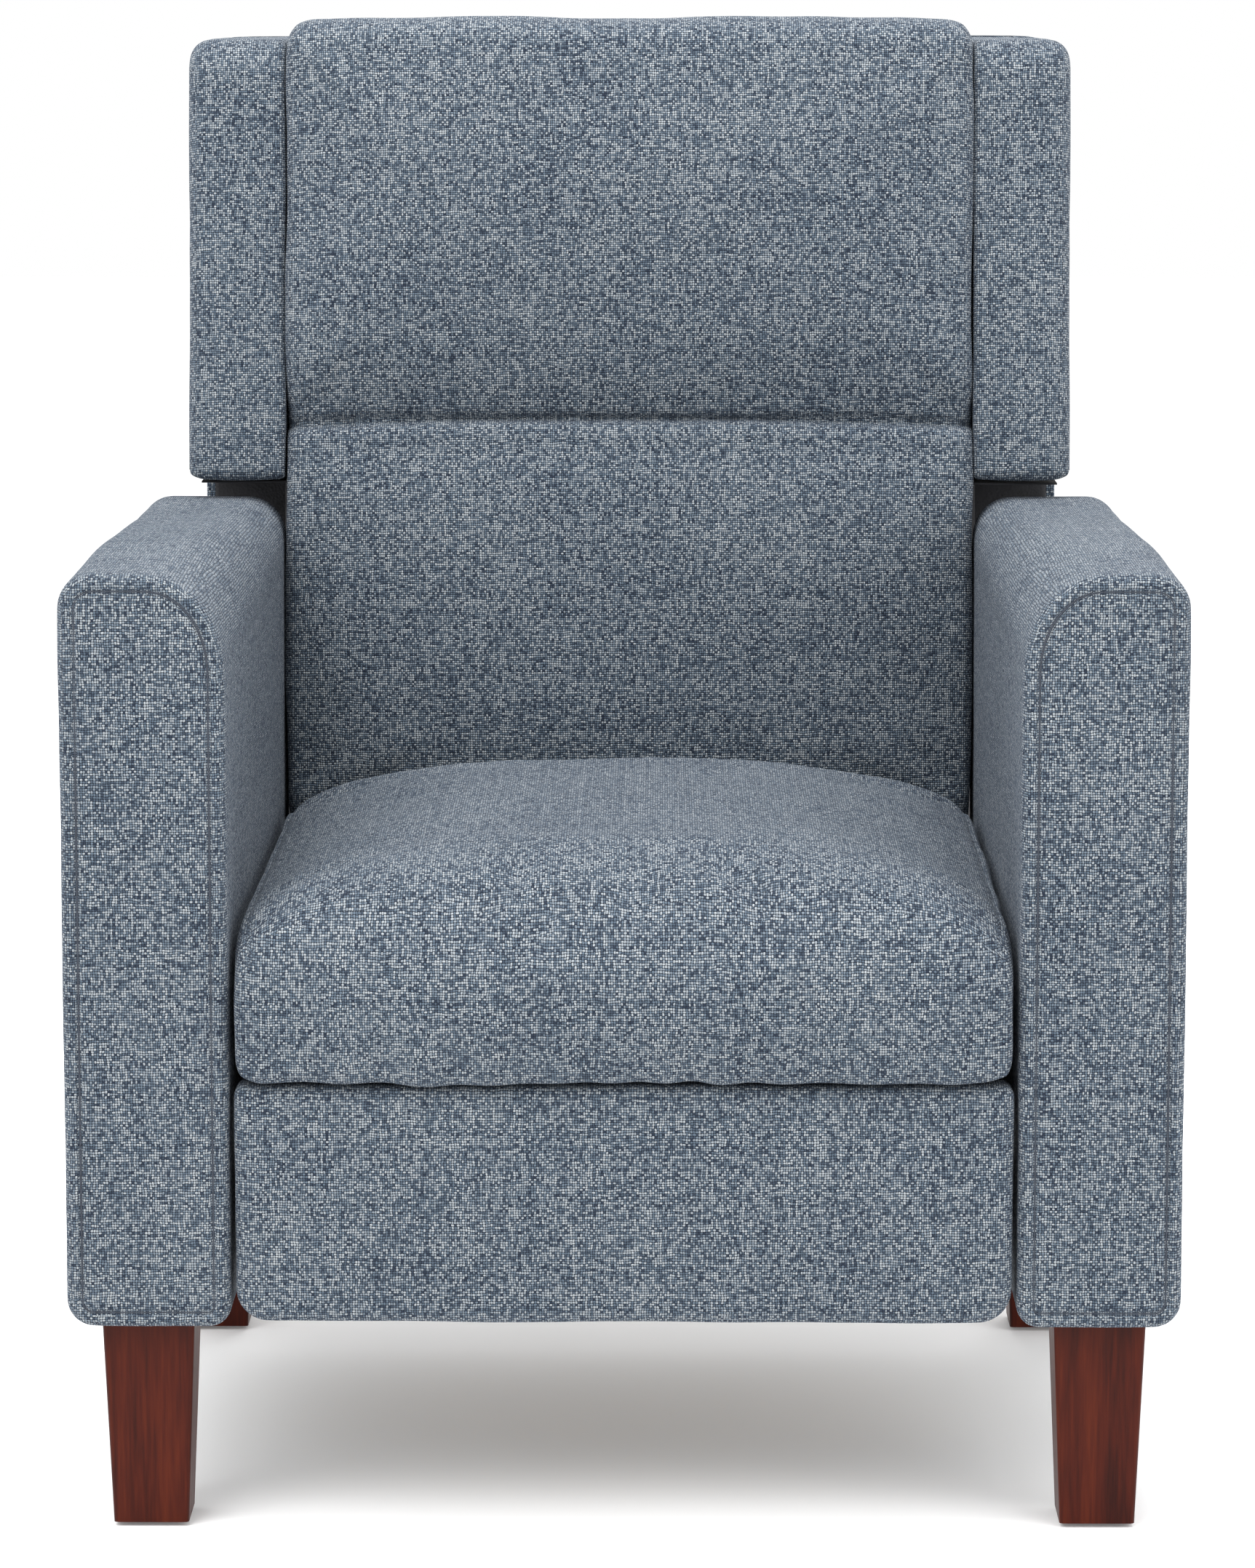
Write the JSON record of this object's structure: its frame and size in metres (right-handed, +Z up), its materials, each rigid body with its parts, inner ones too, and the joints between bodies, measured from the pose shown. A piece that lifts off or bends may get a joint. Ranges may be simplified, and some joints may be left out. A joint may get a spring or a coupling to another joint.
{
  "type": "recliner armchair",
  "caption": "Push-back wing recliner armchair in tweed with square arms, tapered wooden legs, a fold-out footrest on a steel linkage and a reclining back.",
  "frame": {"origin": "on the floor, at the middle of the chair's outer box", "axes": "+X to the sitter's left, -Y the front, +Z up"},
  "size_m": [0.72, 0.8338, 0.9642],
  "materials": {
    "tweed": "woven slate-blue and grey heathered tweed",
    "frame_wood": "raw plywood and softwood",
    "leg_wood": "satin red-brown stain",
    "glide_plastic": "moulded nylon",
    "bright_steel": "zinc-plated",
    "linkage_steel": "black powder coat",
    "black_lining": "non-woven black lining"
  },
  "bodies": {
    "base": {"arm_cover_left": "tweed", "arm_cover_right": "tweed", "arm_bottom_rails": "frame_wood", "arm_front_posts": "frame_wood", "arm_rear_posts": "frame_wood", "arm_top_rails": "frame_wood", "front_leg_left": "leg_wood", "front_leg_right": "leg_wood", "rear_leg_left": "leg_wood", "rear_leg_right": "leg_wood", "leg_bolts": "bright_steel", "leg_glides": "glide_plastic", "front_stretcher": "frame_wood", "rear_rail": "frame_wood", "rear_rail_cover": "tweed", "rear_rail_bolts": "bright_steel", "base_plates": "linkage_steel", "base_plate_screws": "bright_steel", "base_pivot_pins": "bright_steel"},
    "front_swing": {"front_swing_links": "linkage_steel"},
    "rear_swing": {"rear_swing_links": "linkage_steel"},
    "seat": {"seat_plates": "linkage_steel", "seat_pivot_pins": "bright_steel", "seat_plate_screws": "bright_steel", "seat_front_rail": "frame_wood", "seat_rear_rail": "frame_wood", "seat_side_rails": "frame_wood", "seat_springs": "bright_steel", "seat_cushion": "tweed", "rear_link_pins": "bright_steel", "back_pivot_pins": "bright_steel"},
    "front_ottoman_link": {"front_ottoman_links": "linkage_steel", "front_link_pins": "bright_steel", "torque_tube": "linkage_steel"},
    "rear_ottoman_link": {"rear_ottoman_links": "linkage_steel"},
    "knee_link": {"knee_links": "linkage_steel", "knee_link_pins": "bright_steel"},
    "control_link": {"control_links": "linkage_steel", "control_link_pins": "bright_steel"},
    "footrest": {"footrest_board": "frame_wood", "footrest_pad": "tweed", "footrest_brackets": "linkage_steel", "footrest_bracket_screws": "bright_steel", "footrest_pins": "bright_steel"},
    "back": {"back_side_panels": "frame_wood", "back_bottom_rail": "frame_wood", "back_middle_rail": "frame_wood", "back_top_rail": "frame_wood", "back_webbing": "black_lining", "back_brackets": "linkage_steel", "back_bracket_bolts": "bright_steel", "lower_back_cushion": "tweed", "upper_back_cushion": "tweed", "wing_frames": "frame_wood", "wing_cover_left": "tweed", "wing_cover_right": "tweed", "wing_bolts": "bright_steel", "outside_back": "tweed", "side_linings": "tweed", "back_top_cover": "tweed"}
  },
  "joints": [
    {"name": "seat_swing_front", "type": "hinge", "parent": "base", "child": "front_swing", "pos_m": [0, -0.0999, 0.172], "axis": [1, 0, 0], "range_deg": [0, 60]},
    {"name": "seat_level", "type": "hinge", "parent": "front_swing", "child": "seat", "pos_m": [0, -0.0649, 0.23262], "axis": [-1, 0, 0], "range_deg": [0, 60]},
    {"name": "seat_swing_rear", "type": "hinge", "parent": "base", "child": "rear_swing", "pos_m": [0, 0.1001, 0.172], "axis": [1, 0, 0], "range_deg": [0, 60]},
    {"name": "footrest_open", "type": "hinge", "parent": "seat", "child": "front_ottoman_link", "pos_m": [0, -0.3289, 0.262], "axis": [-1, 0, 0], "range_deg": [0, 150]},
    {"name": "rear_ottoman_swing", "type": "hinge", "parent": "seat", "child": "rear_ottoman_link", "pos_m": [0, -0.25757, 0.23882], "axis": [-1, 0, 0], "range_deg": [0, 150]},
    {"name": "knee_turn", "type": "hinge", "parent": "front_ottoman_link", "child": "knee_link", "pos_m": [0, -0.17374, 0.16124], "axis": [1, 0, 0], "range_deg": [0, 150]},
    {"name": "control_turn", "type": "hinge", "parent": "front_ottoman_link", "child": "control_link", "pos_m": [0, -0.16628, 0.17762], "axis": [1, 0, 0], "range_deg": [0, 163]},
    {"name": "footrest_turn", "type": "hinge", "parent": "knee_link", "child": "footrest", "pos_m": [0, -0.3479, 0.19], "axis": [-1, 0, 0], "range_deg": [0, 82]},
    {"name": "back_recline", "type": "hinge", "parent": "seat", "child": "back", "pos_m": [0, 0.2501, 0.3], "axis": [-1, 0, 0], "range_deg": [0, 35]}
  ],
  "couplings": [
    {"joint": "seat_swing_front", "follows": "footrest_open", "ratio": 0.4},
    {"joint": "seat_level", "follows": "footrest_open", "ratio": 0.4},
    {"joint": "seat_swing_rear", "follows": "footrest_open", "ratio": 0.4},
    {"joint": "rear_ottoman_swing", "follows": "footrest_open", "ratio": 1},
    {"joint": "knee_turn", "follows": "footrest_open", "ratio": 1},
    {"joint": "control_turn", "follows": "footrest_open", "ratio": 1.084},
    {"joint": "footrest_turn", "follows": "footrest_open", "ratio": 0.54667}
  ]
}
